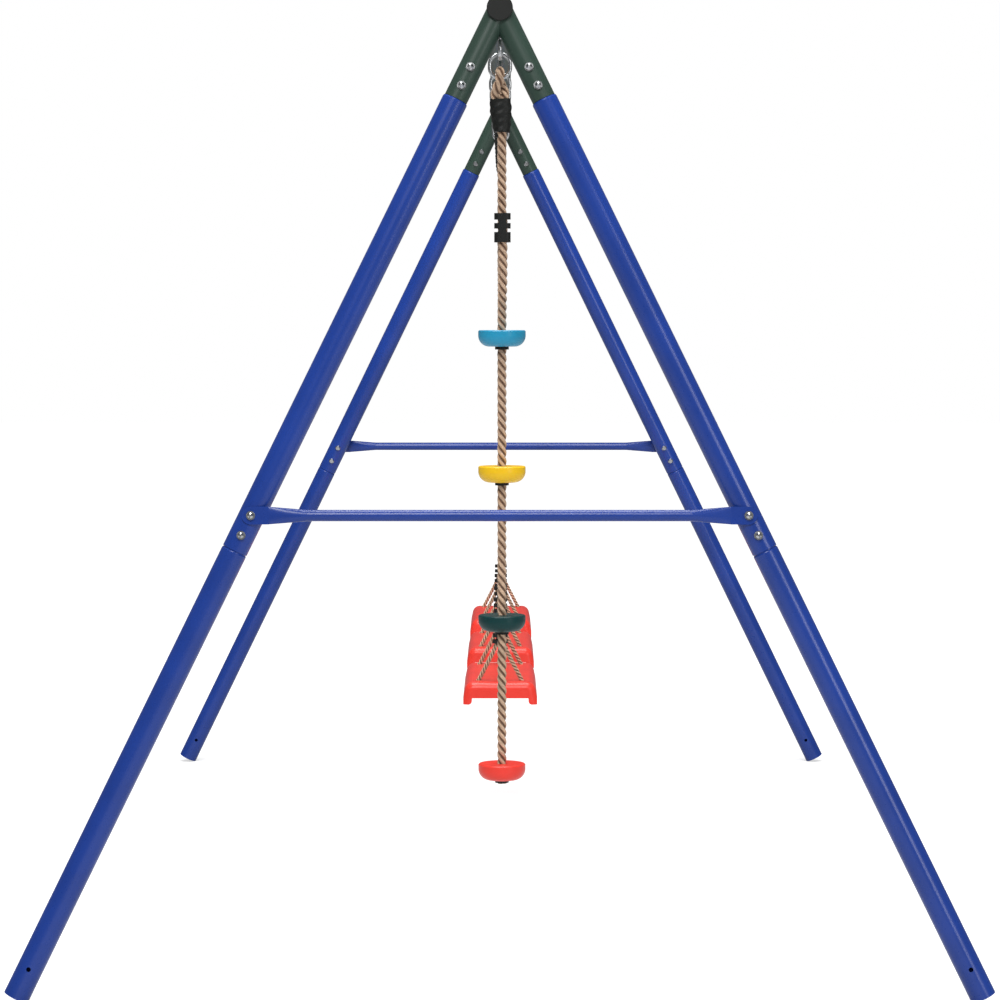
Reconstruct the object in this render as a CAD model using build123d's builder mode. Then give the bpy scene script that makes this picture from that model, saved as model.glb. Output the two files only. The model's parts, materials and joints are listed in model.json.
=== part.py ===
"""Swing set: two A-frames joined by a top beam, three swings and a climbing rope with discs.

Millimetres, +Z up, ground at Z = 0, +Y along the beam, the climbing rope at the -Y end.
"""

import math
import os

from build123d import *

os.makedirs("parts", exist_ok=True)

# ---------------------------------------------------------------- driving dimensions
beam_span = 2920.0        # between the two points where the leg axes meet
half_angle = 26.05        # each leg from the centre line, in the plane of its frame
splay_angle = 3.9         # each frame leans outwards at the ground
leg_length = 2100.0       # from the apex point to the foot, along the leg
leg_d = 50.0
tube_wall = 1.5
fit_gap = 0.2             # radial gap of a swaged end in its socket
neck_step = 3.7           # radial step down to the swaged top of each upper leg
edge_round = 0.8          # turned-over rim of a tube's end
swage = 4.0               # length over which a tube steps down, outside
swage_in = 8.0            # and the further length it takes inside
seam_gap = 1.2            # open seam between upper and lower leg
leg_joint_s = leg_length - 948.0   # seam between upper and lower leg, from the apex
leg_spigot_length = 100.0
socket_start_s = 6.0
socket_floor_s = 62.0     # where the sockets' bores end, short of the beam
socket_end_s = 192.0
neck_top_s = 84.0
connector_bolt_s = (127.0, 166.0)
crossbar_bolt_s = leg_joint_s - 74.0
joint_bolt_s = leg_joint_s - 32.0
foot_hole_s = leg_length - 62.0
foot_hole_d = 9.0

neck_d = leg_d - 2 * neck_step
spigot_d = leg_d - 2 * tube_wall - 2 * fit_gap   # swaged ends of lower legs and beam sections
socket_d = neck_d + 2 * fit_gap + 2 * tube_wall

beam_d = leg_d
sleeve_half = (65.0, leg_d / 2 + 3.0)   # connector sleeve, inwards and outwards of the apex
beam_joint_y = 490.0
beam_spigot_length = 80.0
beam_bolt_y = 530.0
beam_butt_gap = 0.5
beam_tuck = 4.0           # the beam's end reaches this far past the apex point
end_bolt_inset = 52.0
cap_flange = 4.0
cap_plug = 18.0
cap_wall = 2.5
cap_round = 2.0

crossbar_d = 22.0
crossbar_taper = 76.0
crossbar_flat_w = 34.0
crossbar_flat_t = 3.2
crossbar_flat_in = 32.0
crossbar_flat_lap = 2.0   # the flat reaches this far back under the taper

bolt_d = 8.0
bolt_hole_d = 8.5
head_d = 15.0
head_h = 4.5
head_taper = 28
dome_taper = 38
root = 0.5                # overlap that joins a shank to its head
washer_d = 17.0
washer_t = 1.5
nut_flats = 13.0
nut_h = 6.0
nut_dome_r = 5.8
nut_total_h = 11.0
thread_out = 3.0          # thread standing out of an eye bolt's nut
beam_thread_out = 1.5     # and out of a beam bolt's nut
seat_gap = 0.05           # between a seated face and what it sits on

eye_wire = 9.0
eye_ring_r = 17.5         # centre-line radius of the ring
eye_drop = 26.0           # from the beam's underside to the ring's centre
eye_collar_d = 16.0
eye_collar_h = 3.5
link_wire = 8.0
link_r = 20.5             # centre-line radius of the link's ends
link_straight = 7.0
hang_gap = 0.3            # between things that hang in one another

bore_gap = 0.1            # radial gap of a rope in its bore
eye_knees = (8.0, 24.0, 41.0)   # bends of a rope's eye, below the link's bottom bar
eye_tail = 9.0            # cut end past the lowest bend
eye_spread = (0.62, 0.5)  # how far out the middle bend stands: share of the wrap, and extra
eye_radii = (16.0, 16.0, 14.0)
sleeve_wall = (2.0, 2.5)  # beside and in front of the two ropes it grips

climb_inset = 300.0       # from the near frame's apex
climb_rope_d = 19.0
climb_shift = 4.0         # the climbing rope hangs a little to one side of its eye
climb_slant = (54.0, 100.0)   # bends where it swings over to that side, below the link
climb_slant_radii = [30.0, 30.0]
lower_shift = 2.0         # the lower rope runs this far further over
rope_end_out = 2.0        # cut end below the last stopper
loop_slack = 0.02         # keeps the eye's two quarter bends from meeting
climb_sleeve_length = 68.0
climb_sleeve_wall = 6.5   # at its lower end
climb_loop_radius = 60.0
tail_end = 1388.0
tail_leads = (8.0, 68.0)  # where the lower rope leaves and joins the line of the upper one
strand_gap = 1.4          # between the two ropes in the adjuster
adjust_bottom = 1456.0
adjust_flanges = ((0.0, 20.0), (28.0, 10.0), (46.0, 12.0))   # start and height of each
adjust_sides = 14.0       # width of the flanges over the rope's diameter
adjust_round = 9.0
adjust_wall = 3.4
adjust_web = (17.0, 3.2)
disc_tops = (1279.0, 1004.0, 701.0, 397.0)
disc_d = 96.0
disc_h = 33.0
disc_rim = 11.0
disc_wall = 3.0
disc_chamfer = 2.0
disc_skin = 4.0
disc_foot_r = 25.0        # inner edge of the rim's flat underside
disc_hub_wall = 4.4
disc_belly = (5.6, 14.6)  # middle of the bowl's outer arc: in from the rim, below it
disc_foot_in = 20.0
stopper_wall = 4.5
stopper_h = 6.0

seat_length = 400.0
seat_width = 162.0
seat_top = 508.0
seat_height = 49.0
seat_draft = 7.0          # each side leans in this far towards the top
seat_side_h = 16.0        # upright part of each side
seat_edge_round = 20.0
seat_end_round = 16.0
seat_foot_round = 8.0
seat_foot_inner = 8.0
seat_spacing = 695.0
climb_to_seat = 655.0
seat_rope_inset = 45.0
seat_rope_d = 12.0
seat_slant = (52.0, 84.0)
seat_slant_radii = [24.0, 24.0]
seat_sleeve_length = 50.0
seat_sleeve_wall = 3.0
bridle_d = 10.0
bridle_web = 1.2
bridle_radii = (9.0, 8.0)
bridle_lead = 2.5
seat_hole_inset = 33.0
seat_hole_d = 14.0
seat_hole_lean = 5.5      # the bridle's corner lies this far outside its hole's centre
seat_skin = 4.0
seat_rail_w = 19.0
seat_end_wall = 6.0
seat_end_lift = 14.0
rail_slot = (8.0, 7.0)    # width of the slot under each rail, and its outer wall
rail_slot_top = 22.0
rail_slot_end = 30.0
seat_adjuster_bottom = 590.0
adjuster_flange = (33.0, 24.0, 7.5)
adjuster_flange_round = 7.0
adjuster_pitch = 13.5
adjuster_core = 18.0
adjuster_core_round = 5.0
adjuster_rope_in = 20.0
adjuster_bridle_in = 7.0
pocket_gap = 0.2          # between a rope's cut end and the floor of its pocket

# ---------------------------------------------------------------- derived frame geometry
sin_a, cos_a = math.sin(math.radians(half_angle)), math.cos(math.radians(half_angle))
sin_p, cos_p = math.sin(math.radians(splay_angle)), math.cos(math.radians(splay_angle))
leg_dz = cos_a * cos_p
beam_z = leg_length * leg_dz + leg_d / 2 * math.sqrt(1 - leg_dz**2)
beam_bottom = beam_z - beam_d / 2
eye_z = beam_bottom - eye_drop
hinge_z = eye_z - eye_ring_r
link_top_z = hinge_z + eye_wire / 2 + hang_gap + link_wire / 2
bar_z = link_top_z - 2 * link_r - link_straight
climb_y = climb_inset - beam_span / 2
first_seat_y = climb_y + climb_to_seat
seat_hole_x = seat_width / 2 - seat_hole_inset
ENDS = (("near", -1), ("far", 1))
SIDES = (("left", -1), ("right", 1))
swings = [(k + 1, first_seat_y + k * seat_spacing) for k in range(3)]


def apex(end):
    return Vector(0, end * beam_span / 2, beam_z)


def leg_dir(end, side):
    return Vector(side * sin_a, end * cos_a * sin_p, -leg_dz)


def outward(end):
    return Vector(0, end * cos_p, sin_p)


def leg_point(end, side, s, out=0.0):
    return apex(end) + leg_dir(end, side) * s + outward(end) * out


def leg_section(end, side):
    """Plane with x along the outward normal and y down the leg, at the apex."""
    normal = outward(end).cross(leg_dir(end, side))
    return Plane(origin=apex(end), x_dir=outward(end), z_dir=normal)


def save(part, name):
    part.label = name
    export_step(part, f"parts/{name}.step")


# ---------------------------------------------------------------- legs
def build_leg(name, end, side, profile, holes):
    with BuildPart() as leg:
        with BuildSketch(leg_section(end, side)):
            with BuildLine():
                Polyline(*profile, close=True)
            make_face()
        revolve(axis=Axis(apex(end), leg_dir(end, side)))
        for s, d in holes:
            with BuildSketch(Plane(origin=leg_point(end, side, s), z_dir=outward(end))):
                Circle(d / 2)
            extrude(amount=leg_d, both=True, mode=Mode.SUBTRACT)
    save(leg.part, name)


r_leg, r_in = leg_d / 2, leg_d / 2 - tube_wall
upper_profile = [
    (neck_d / 2 - tube_wall, neck_top_s),
    (neck_d / 2, neck_top_s),
    (neck_d / 2, socket_end_s),
    (r_leg - edge_round, socket_end_s + swage / 3),
    (r_leg, socket_end_s + swage),
    (r_leg, leg_joint_s - edge_round),
    (r_leg - edge_round, leg_joint_s),
    (r_in, leg_joint_s),
    (r_in, socket_end_s + swage + swage_in),
    (neck_d / 2 - tube_wall, socket_end_s + swage),
]
spigot_top_s = leg_joint_s - leg_spigot_length
lower_profile = [
    (spigot_d / 2 - tube_wall, spigot_top_s),
    (spigot_d / 2, spigot_top_s),
    (spigot_d / 2, leg_joint_s + seam_gap),
    (r_leg - edge_round, leg_joint_s + seam_gap + edge_round),
    (r_leg, leg_joint_s + swage),
    (r_leg, leg_length),
    (r_in, leg_length),
    (r_in, leg_joint_s + swage + swage_in),
    (spigot_d / 2 - tube_wall, leg_joint_s + swage),
]
upper_holes = [(s, bolt_hole_d) for s in (*connector_bolt_s, crossbar_bolt_s, joint_bolt_s)]
lower_holes = [
    (crossbar_bolt_s, bolt_hole_d),
    (joint_bolt_s, bolt_hole_d),
    (foot_hole_s, foot_hole_d),
]
for end_name, end in ENDS:
    for side_name, side in SIDES:
        build_leg(f"{end_name}_{side_name}_upper_leg", end, side, upper_profile, upper_holes)
        build_leg(f"{end_name}_{side_name}_lower_leg", end, side, lower_profile, lower_holes)

# ---------------------------------------------------------------- apex connectors
socket_bore = neck_d / 2 + fit_gap
for end_name, end in ENDS:
    y_in, y_out = end * (beam_span / 2 - sleeve_half[0]), end * (beam_span / 2 + sleeve_half[1])
    with BuildPart() as connector:
        with BuildSketch(Plane(origin=(0, y_in, beam_z), x_dir=(1, 0, 0), z_dir=(0, end, 0))):
            Circle(beam_d / 2)
        extrude(amount=abs(y_out - y_in))
        for _, side in SIDES:
            along = Plane(origin=leg_point(end, side, socket_start_s), z_dir=leg_dir(end, side))
            with BuildSketch(along):
                Circle(socket_d / 2)
            extrude(amount=socket_end_s - socket_start_s)
        for _, side in SIDES:
            hollow = Plane(origin=leg_point(end, side, socket_floor_s), z_dir=leg_dir(end, side))
            with BuildSketch(hollow):
                Circle(socket_bore)
            extrude(amount=socket_end_s, mode=Mode.SUBTRACT)
            for s in connector_bolt_s:
                with BuildSketch(Plane(origin=leg_point(end, side, s), z_dir=outward(end))):
                    Circle(bolt_hole_d / 2)
                extrude(amount=leg_d, both=True, mode=Mode.SUBTRACT)
        with BuildSketch(Plane(origin=(0, y_in, beam_z), x_dir=(1, 0, 0), z_dir=(0, end, 0))):
            Circle(spigot_d / 2 + fit_gap)
        extrude(amount=abs(y_out - y_in), mode=Mode.SUBTRACT)
        bolt_y = end * (beam_span / 2 - end_bolt_inset)
        with BuildSketch(Plane(origin=(0, bolt_y, beam_z), z_dir=(0, 0, 1))):
            Circle(bolt_hole_d / 2)
        extrude(amount=beam_d, both=True, mode=Mode.SUBTRACT)
    save(connector.part, f"{end_name}_connector")

# ---------------------------------------------------------------- top beam
hook_ys = [climb_y]
for _, y0 in swings:
    for sign in (-1, 1):
        hook_ys.append(y0 + sign * (seat_length / 2 - seat_rope_inset))


def build_beam(name, profile, bolt_ys):
    with BuildPart() as beam:
        with BuildSketch(Plane(origin=(0, 0, beam_z), x_dir=(1, 0, 0), z_dir=(0, 0, 1))):
            with BuildLine():
                Polyline(*profile, close=True)
            make_face()
        revolve(axis=Axis((0, 0, beam_z), (0, 1, 0)))
        for y in bolt_ys:
            with BuildSketch(Plane(origin=(0, y, beam_z), z_dir=(0, 0, 1))):
                Circle(bolt_hole_d / 2)
            extrude(amount=beam_d, both=True, mode=Mode.SUBTRACT)
    save(beam.part, name)


r_spigot = spigot_d / 2
outer_end = beam_span / 2 + beam_tuck
shoulder = beam_span / 2 - sleeve_half[0] - beam_butt_gap
for name, end in (("near_beam", -1), ("far_beam", 1)):
    build_beam(
        name,
        [
            (r_spigot - tube_wall, end * outer_end),
            (r_spigot, end * outer_end),
            (r_spigot, end * shoulder),
            (r_leg, end * (shoulder - swage)),
            (r_leg, end * beam_joint_y),
            (r_in, end * beam_joint_y),
            (r_in, end * (shoulder - swage - swage_in)),
            (r_spigot - tube_wall, end * (shoulder - swage)),
        ],
        [y for y in hook_ys if y * end > beam_joint_y]
        + [end * beam_bolt_y, end * (beam_span / 2 - end_bolt_inset)],
    )
neck_y = beam_joint_y - beam_butt_gap
inner_y = neck_y - swage - swage_in
build_beam(
    "middle_beam",
    [
        (r_spigot - tube_wall, -beam_joint_y - beam_spigot_length),
        (r_spigot, -beam_joint_y - beam_spigot_length),
        (r_spigot, -neck_y),
        (r_leg, swage - neck_y),
        (r_leg, neck_y - swage),
        (r_spigot, neck_y),
        (r_spigot, beam_joint_y + beam_spigot_length),
        (r_spigot - tube_wall, beam_joint_y + beam_spigot_length),
        (r_spigot - tube_wall, neck_y - swage),
        (r_in, inner_y),
        (r_in, -inner_y),
        (r_spigot - tube_wall, swage - neck_y),
    ],
    [y for y in hook_ys if abs(y) < beam_joint_y] + [-beam_bolt_y, beam_bolt_y],
)

with BuildPart() as caps:
    for _, end in ENDS:
        face_y = end * (beam_span / 2 + sleeve_half[1])
        with BuildSketch(Plane(origin=(0, face_y, beam_z), x_dir=(1, 0, 0), z_dir=(0, end, 0))):
            Circle(beam_d / 2)
        extrude(amount=cap_flange)
        fillet(caps.faces().sort_by(Axis.Y)[-1 if end > 0 else 0].edges(), cap_round)
        with BuildSketch(Plane(origin=(0, face_y, beam_z), x_dir=(1, 0, 0), z_dir=(0, end, 0))):
            Circle(r_spigot + fit_gap - seat_gap)
            Circle(r_spigot - cap_wall, mode=Mode.SUBTRACT)
        extrude(amount=-cap_plug)
save(caps.part, "beam_end_caps")

# ---------------------------------------------------------------- crossbars
bar_out = r_leg + seat_gap + crossbar_flat_t / 2
for end_name, end in ENDS:
    mid = leg_point(end, 1, crossbar_bolt_s, bar_out)
    hole_x = mid.X
    mid = Vector(0, mid.Y, mid.Z)
    flat_start = hole_x - crossbar_flat_in
    tube_end = flat_start - crossbar_taper
    with BuildPart() as bar:
        with BuildSketch(Plane(origin=mid, x_dir=outward(end), z_dir=(1, 0, 0))):
            Circle(crossbar_d / 2)
        extrude(amount=tube_end, both=True)
        for _, side in SIDES:
            at = mid + Vector(side * tube_end, 0, 0)
            with BuildSketch(Plane(origin=at, x_dir=outward(end), z_dir=(1, 0, 0))):
                Ellipse(crossbar_d / 2, crossbar_d / 2)
            half = mid + Vector(side * (tube_end + crossbar_taper / 2), 0, 0)
            with BuildSketch(Plane(origin=half, x_dir=outward(end), z_dir=(1, 0, 0))):
                Ellipse((crossbar_d + crossbar_flat_t) / 4, (crossbar_d + crossbar_flat_w) / 4)
            at = mid + Vector(side * flat_start, 0, 0)
            with BuildSketch(Plane(origin=at, x_dir=outward(end), z_dir=(1, 0, 0))):
                Ellipse(crossbar_flat_t / 2, crossbar_flat_w / 2)
            loft()
            hole = mid + Vector(side * hole_x, 0, 0)
            reach = crossbar_flat_in + crossbar_flat_lap
            with BuildSketch(Plane(origin=hole, x_dir=(side, 0, 0), z_dir=outward(end))):
                with Locations((-reach / 2, 0)):
                    Rectangle(reach, crossbar_flat_w)
                Circle(crossbar_flat_w / 2)
            extrude(amount=crossbar_flat_t / 2, both=True)
            with BuildSketch(Plane(origin=hole, z_dir=outward(end))):
                Circle(bolt_hole_d / 2)
            extrude(amount=crossbar_flat_t, both=True, mode=Mode.SUBTRACT)
        with BuildSketch(Plane(origin=mid, x_dir=outward(end), z_dir=(1, 0, 0))):
            Circle(crossbar_d / 2 - tube_wall)
        extrude(amount=tube_end, both=True, mode=Mode.SUBTRACT)
    save(bar.part, f"{end_name}_crossbar")


# ---------------------------------------------------------------- bolts through the legs
def make_bolt(end, side, s, inner, outer):
    """Button-headed bolt from the inner side, its shank reaching into the cap nut."""
    with BuildPart() as bolt:
        with BuildSketch(Plane(origin=leg_point(end, side, s, -inner), z_dir=-outward(end))):
            Circle(head_d / 2)
        extrude(amount=head_h, taper=head_taper)
        with BuildSketch(Plane(origin=leg_point(end, side, s, -inner - root), z_dir=outward(end))):
            Circle(bolt_d / 2)
        extrude(amount=inner + outer + root + washer_t + nut_h)
    return bolt.part


def make_washer(end, side, s, outer):
    with BuildPart() as washer:
        with BuildSketch(Plane(origin=leg_point(end, side, s, outer), z_dir=outward(end))):
            Circle(washer_d / 2)
            Circle(bolt_hole_d / 2, mode=Mode.SUBTRACT)
        extrude(amount=washer_t)
    return washer.part


def make_cap_nut(end, side, s, outer):
    base = outer + washer_t
    with BuildPart() as nut:
        with BuildSketch(Plane(origin=leg_point(end, side, s, base), z_dir=outward(end))):
            RegularPolygon(nut_flats / 2, 6, major_radius=False)
        extrude(amount=nut_h)
        with BuildSketch(Plane(origin=leg_point(end, side, s, base + nut_h), z_dir=outward(end))):
            Circle(nut_dome_r)
        extrude(amount=nut_total_h - nut_h, taper=dome_taper)
        with BuildSketch(Plane(origin=leg_point(end, side, s, base), z_dir=outward(end))):
            Circle(bolt_d / 2 + seat_gap)
        extrude(amount=nut_h + root, mode=Mode.SUBTRACT)
    return nut.part


bar_face = bar_out + crossbar_flat_t / 2 + seat_gap
corners = [(end, side) for _, end in ENDS for _, side in SIDES]
socket_r, leg_r = socket_d / 2 + seat_gap, r_leg + seat_gap
connector_stations = [(*c, s, socket_r, socket_r) for c in corners for s in connector_bolt_s]
joint_stations = [(*c, joint_bolt_s, leg_r, leg_r) for c in corners]
crossbar_stations = [(*c, crossbar_bolt_s, leg_r, bar_face) for c in corners]
stations = connector_stations + joint_stations + crossbar_stations

for name, places in (
    ("connector_bolts", connector_stations),
    ("joint_bolts", joint_stations),
    ("crossbar_bolts", crossbar_stations),
):
    with BuildPart() as bolts:
        for place in places:
            add(make_bolt(*place))
    save(bolts.part, name)

with BuildPart() as frame_washers:
    for end, side, s, _, out in stations:
        add(make_washer(end, side, s, out))
save(frame_washers.part, "frame_washers")

with BuildPart() as frame_nuts:
    for end, side, s, _, out in stations:
        add(make_cap_nut(end, side, s, out))
save(frame_nuts.part, "frame_nuts")

# ---------------------------------------------------------------- bolts down through the beam
beam_bolt_ys = [
    end * y for end in (-1, 1) for y in (beam_bolt_y, beam_span / 2 - end_bolt_inset)
]
beam_top = beam_z + beam_d / 2 + seat_gap
with BuildPart() as beam_bolts:
    for y in beam_bolt_ys:
        with BuildSketch(Plane(origin=(0, y, beam_top), z_dir=(0, 0, 1))):
            Circle(head_d / 2)
        extrude(amount=head_h, taper=head_taper)
        with BuildSketch(Plane(origin=(0, y, beam_top + root), z_dir=(0, 0, -1))):
            Circle(bolt_d / 2)
        extrude(amount=beam_d + 2 * seat_gap + root + nut_h + beam_thread_out)
save(beam_bolts.part, "beam_bolts")

with BuildPart() as beam_nuts:
    for y in beam_bolt_ys:
        with BuildSketch(Plane(origin=(0, y, beam_bottom - seat_gap), z_dir=(0, 0, -1))):
            RegularPolygon(nut_flats / 2, 6, major_radius=False)
            Circle(bolt_d / 2 + seat_gap, mode=Mode.SUBTRACT)
        extrude(amount=nut_h)
save(beam_nuts.part, "beam_bolt_nuts")

# ---------------------------------------------------------------- eye bolts
shank_top = beam_top + washer_t + nut_h + thread_out
with BuildPart() as eye_bolts:
    for y in hook_ys:
        with BuildSketch(Plane(origin=(0, y + eye_ring_r, eye_z), z_dir=(0, 0, 1))):
            Circle(eye_wire / 2)
        revolve(axis=Axis((0, y, eye_z), (1, 0, 0)))
        with BuildSketch(Plane(origin=(0, y, eye_z + eye_ring_r), z_dir=(0, 0, 1))):
            Circle(bolt_d / 2)
        extrude(amount=shank_top - eye_z - eye_ring_r)
        with BuildSketch(Plane(origin=(0, y, beam_bottom - eye_collar_h), z_dir=(0, 0, 1))):
            Circle(eye_collar_d / 2)
        extrude(amount=eye_collar_h - seat_gap)
save(eye_bolts.part, "eye_bolts")

with BuildPart() as eye_washers:
    for y in hook_ys:
        with BuildSketch(Plane(origin=(0, y, beam_top), z_dir=(0, 0, 1))):
            Circle(washer_d / 2)
            Circle(bolt_hole_d / 2, mode=Mode.SUBTRACT)
        extrude(amount=washer_t)
save(eye_washers.part, "eye_bolt_washers")

with BuildPart() as eye_nuts:
    for y in hook_ys:
        with BuildSketch(Plane(origin=(0, y, beam_top + washer_t), z_dir=(0, 0, 1))):
            RegularPolygon(nut_flats / 2, 6, major_radius=False)
            Circle(bolt_d / 2 + seat_gap, mode=Mode.SUBTRACT)
        extrude(amount=nut_h)
save(eye_nuts.part, "eye_bolt_nuts")


# ---------------------------------------------------------------- links and ropes
def make_link(y):
    top = Vector(0, y, link_top_z - link_r)
    low = Vector(0, y, link_top_z - link_r - link_straight)
    right = Vector(link_r, 0, 0)
    with BuildPart() as link:
        with BuildLine() as line:
            Line(low + right, top + right)
            ThreePointArc(top + right, top + Vector(0, 0, link_r), top - right)
            Line(top - right, low - right)
            ThreePointArc(low - right, low - Vector(0, 0, link_r), low + right)
        with BuildSketch(Plane(origin=low + right, z_dir=(0, 0, 1))):
            Circle(link_wire / 2)
        sweep(path=line.wire())
    return link.part


def build_rope(name, points, radii, d):
    """Round rope along straight runs joined by tangent arcs."""
    with BuildPart() as rope:
        with BuildLine() as line:
            FilletPolyline(*points, radius=radii)
        start = Vector(*points[0])
        with BuildSketch(Plane(origin=start, z_dir=Vector(*points[1]) - start)):
            Circle(d / 2)
        sweep(path=line.wire())
    length = sum(edge.length for edge in line.edges())
    share = rope.part.volume / (math.pi * d * d / 4 * length)
    print(name, "length", round(length, 1), "bend radii", radii, "volume share", round(share, 4))
    save(rope.part, name)


def eye_points(y, d):
    """Cut end and main run of a rope's eye, crossing under the link's bottom bar at x = 0."""
    r = link_wire / 2 + hang_gap + d / 2
    leg_x = d / 2 + hang_gap
    knee, middle, low = (bar_z - drop for drop in eye_knees)
    twist = eye_spread[0] * r + eye_spread[1]
    half = [
        (-leg_x, y, low - eye_tail),
        (-leg_x, y, low),
        (-twist, y - twist, middle),
        (0, y - r, knee),
        (0, y - r, bar_z + r),
    ]
    back = [(-x, 2 * y - yy, z) for x, yy, z in reversed(half)]
    radii = [*eye_radii, r - loop_slack]
    return half, back[:-1], radii, leg_x


def make_sleeve(y, d, x_low, length, low_wall, runs):
    """Shrink sleeve over the end of the rope's eye, bored for the rope and its cut end."""
    z_top = bar_z - eye_knees[-1]
    half_w, half_t = d + hang_gap + sleeve_wall[0], d / 2 + sleeve_wall[1]
    low_r = d / 2 + low_wall
    rings = (
        (0, 0, half_w, half_t),
        (x_low / 2, length / 2, half_w, half_t + sleeve_wall[0] / 2),
        (x_low, length, low_r, low_r),
    )
    with BuildPart() as sleeve:
        for x, drop, rx, ry in rings:
            with BuildSketch(Plane(origin=(x, y, z_top - drop), z_dir=(0, 0, 1))):
                Ellipse(rx, ry)
        loft()
        for points, radii in runs:
            with BuildLine(mode=Mode.PRIVATE) as line:
                FilletPolyline(*points, radius=radii)
            start = Vector(*points[0])
            with BuildSketch(Plane(origin=start, z_dir=Vector(*points[1]) - start)):
                Circle(d / 2 + bore_gap)
            sweep(path=line.wire(), mode=Mode.SUBTRACT)
    return sleeve.part


# ---------------------------------------------------------------- climbing rope
with BuildPart() as climb_link:
    add(make_link(climb_y))
save(climb_link.part, "climb_link")

tail, main, radii, leg_x = eye_points(climb_y, climb_rope_d)
adjust_top = adjust_bottom + sum(adjust_flanges[-1])
front_y = climb_y - climb_rope_d - strand_gap
slant = [
    (leg_x, climb_y, bar_z - climb_slant[0]),
    (climb_shift, climb_y, bar_z - climb_slant[1]),
    (climb_shift, climb_y, tail_end),
]
build_rope(
    "climb_top_rope", tail + main + slant, radii + radii[::-1] + climb_slant_radii, climb_rope_d
)
tail_floor = bar_z - eye_knees[-1] - eye_tail - hang_gap
climb_runs = [
    (main[-2:] + slant, [eye_radii[0]] + climb_slant_radii),
    ([tail[2], tail[1], (-leg_x, climb_y, tail_floor)], [eye_radii[0]]),
]
climb_sleeve = make_sleeve(
    climb_y, climb_rope_d, climb_shift, climb_sleeve_length, climb_sleeve_wall, climb_runs
)
save(climb_sleeve, "climb_sleeve")

last_stop = disc_tops[-1] - disc_h - stopper_h - pocket_gap
lower_x = climb_shift + lower_shift
build_rope(
    "climb_rope",
    [
        (lower_x, front_y, adjust_top),
        (lower_x, front_y, tail_end - tail_leads[0]),
        (climb_shift, climb_y, tail_end - tail_leads[1]),
        (climb_shift, climb_y, last_stop - rope_end_out),
    ],
    [climb_loop_radius, climb_loop_radius],
    climb_rope_d,
)

bore = climb_rope_d / 2 + bore_gap
mid_x, mid_y = (climb_shift + lower_x) / 2, (climb_y + front_y) / 2
half_y = (climb_y - front_y) / 2 + bore + adjust_wall
with BuildPart() as climb_adjuster:
    for start, height in adjust_flanges:
        with BuildSketch(Plane(origin=(mid_x, mid_y, adjust_bottom + start), z_dir=(0, 0, 1))):
            RectangleRounded(climb_rope_d + adjust_sides, 2 * half_y, adjust_round)
        extrude(amount=height)
    for sign in (-1, 1):
        web_y = mid_y + sign * (half_y - adjust_web[1] / 2)
        with BuildSketch(Plane(origin=(mid_x, web_y, adjust_bottom), z_dir=(0, 0, 1))):
            Rectangle(*adjust_web)
        extrude(amount=adjust_top - adjust_bottom)
    for x, y in ((climb_shift, climb_y), (lower_x, front_y)):
        with BuildSketch(Plane(origin=(x, y, adjust_bottom), z_dir=(0, 0, 1))):
            Circle(bore)
        extrude(amount=adjust_top - adjust_bottom, mode=Mode.SUBTRACT)
save(climb_adjuster.part, "climb_adjuster")

disc_r = disc_d / 2
inner_r, hub_r = disc_r - disc_wall, bore + disc_hub_wall
foot_x, foot_z = disc_r - disc_foot_in, disc_wall - disc_h
belly_x, belly_z = disc_r - disc_belly[0], -disc_rim - disc_belly[1]
belly_in = disc_wall / math.sqrt(2)
for name, top in zip(("blue", "yellow", "green", "red"), disc_tops):
    at = (climb_shift, climb_y, top)
    with BuildPart() as disc:
        with BuildSketch(Plane(origin=at, x_dir=(1, 0, 0), z_dir=(0, -1, 0))):
            with BuildLine():
                Polyline(
                    (bore, 0), (disc_r - disc_chamfer, 0), (disc_r, -disc_chamfer),
                    (disc_r, -disc_rim),
                )
                ThreePointArc((disc_r, -disc_rim), (belly_x, belly_z), (foot_x, -disc_h))
                Polyline(
                    (foot_x, -disc_h), (disc_foot_r, -disc_h), (disc_foot_r, foot_z),
                    (foot_x - disc_wall / 3, foot_z),
                )
                ThreePointArc(
                    (foot_x - disc_wall / 3, foot_z),
                    (belly_x - belly_in, belly_z + belly_in),
                    (inner_r, -disc_rim),
                )
                Polyline(
                    (inner_r, -disc_rim), (inner_r, -disc_skin), (hub_r, -disc_skin),
                    (hub_r, -disc_h), (bore, -disc_h), (bore, 0),
                )
            make_face()
        revolve(axis=Axis(at, (0, 0, 1)))
    save(disc.part, f"{name}_disc")

with BuildPart() as stoppers:
    for top in disc_tops:
        seat_at = (climb_shift, climb_y, top - disc_h - seat_gap)
        with BuildSketch(Plane(origin=seat_at, z_dir=(0, 0, -1))):
            Circle(climb_rope_d / 2 + stopper_wall)
            Circle(bore - seat_gap, mode=Mode.SUBTRACT)
        extrude(amount=stopper_h)
save(stoppers.part, "disc_stoppers")

# ---------------------------------------------------------------- swings
low = seat_top - seat_height
half_w = seat_width / 2
rail_x = half_w - seat_rail_w
side_profile = [
    (half_w, low),
    (half_w, low + seat_side_h),
    (half_w - seat_draft, seat_top),
]


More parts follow.
